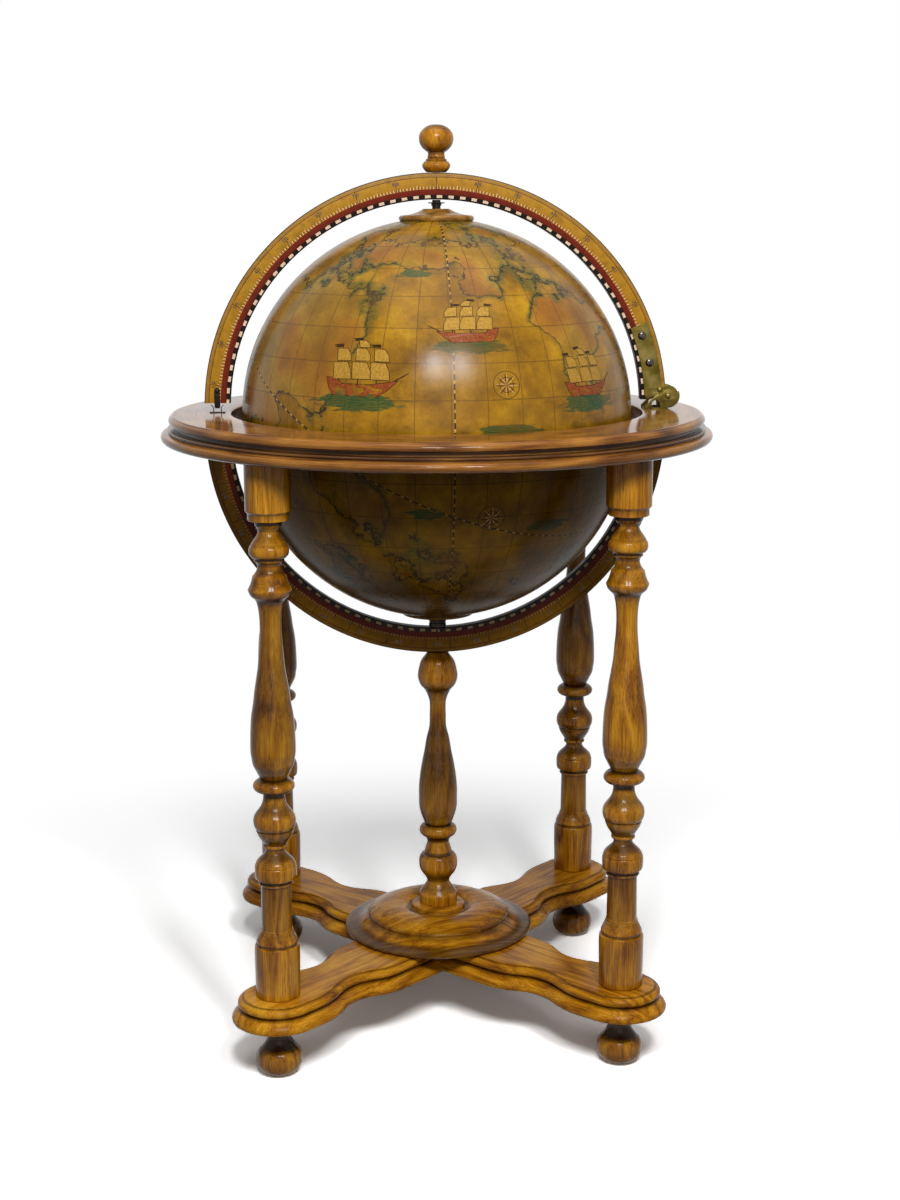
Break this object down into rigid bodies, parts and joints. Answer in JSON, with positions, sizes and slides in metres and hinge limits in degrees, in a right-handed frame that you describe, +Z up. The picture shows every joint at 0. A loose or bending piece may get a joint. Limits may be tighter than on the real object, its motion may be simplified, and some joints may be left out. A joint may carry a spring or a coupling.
{
  "type": "globe bar",
  "caption": "Floor-standing globe drinks cabinet: printed globe in a turned wooden stand, upper half hinged on a meridian ring over a glass tray and bottle well.",
  "frame": {"origin": "on the floor under the globe's vertical axis, at the centre of the stand", "axes": "+Z up along the globe's axis, +X towards the lid's hinge in the plane of the meridian ring, -Y towards the front with the catch"},
  "size_m": [0.5658, 0.5658, 0.9319],
  "materials": {
    "stained_wood": "golden-brown stain under gloss lacquer",
    "table_wood": "golden-brown stain, polished",
    "globe_print": "moulded fibre shell with varnished antique map print",
    "scale_print": "wooden arc with varnished printed degree scale",
    "inner_wood": "satin lacquer",
    "brass": "aged, satin",
    "dark_steel": "blackened"
  },
  "bodies": {
    "stand": {"foot_front_left": "stained_wood", "foot_front_right": "stained_wood", "foot_rear_left": "stained_wood", "foot_rear_right": "stained_wood", "cross_board_left_to_right": "stained_wood", "cross_board_right_to_left": "stained_wood", "base_disc": "stained_wood", "centre_column": "stained_wood", "leg_front_left": "stained_wood", "leg_front_right": "stained_wood", "leg_rear_left": "stained_wood", "leg_rear_right": "stained_wood", "table_ring_lower": "stained_wood", "table_ring_upper": "table_wood", "meridian_lower": "scale_print", "bowl_pivot": "dark_steel", "hinge_bracket": "brass", "hinge_pivot_rivet_front": "brass", "hinge_pivot_rivet_rear": "brass", "catch_fork": "dark_steel"},
    "lid": {"meridian_upper": "scale_print", "finial": "stained_wood", "hinge_leaf_front": "brass", "hinge_leaf_rear": "brass", "hinge_stop_rivet_front": "brass", "hinge_stop_rivet_rear": "brass", "catch_tongue": "dark_steel", "dome_pivot": "dark_steel"},
    "dome": {"dome_shell": "globe_print", "dome_rim": "inner_wood", "dome_cap": "stained_wood"},
    "bowl": {"bowl_shell": "globe_print", "bowl_rim": "inner_wood", "glass_tray": "inner_wood", "bottle_shelf": "inner_wood", "bowl_cap": "stained_wood"}
  },
  "joints": [
    {"name": "lid_hinge", "type": "hinge", "parent": "stand", "child": "lid", "pos_m": [0.2392, 0, 0.6591], "axis": [0, 1, 0], "range_deg": [0, 95]},
    {"name": "dome_spin", "type": "hinge", "parent": "lid", "child": "dome", "pos_m": [0, 0, 0.6403], "axis": [0, 0, 1], "continuous": true},
    {"name": "bowl_spin", "type": "hinge", "parent": "stand", "child": "bowl", "pos_m": [0, 0, 0.6317], "axis": [0, 0, 1], "continuous": true}
  ]
}
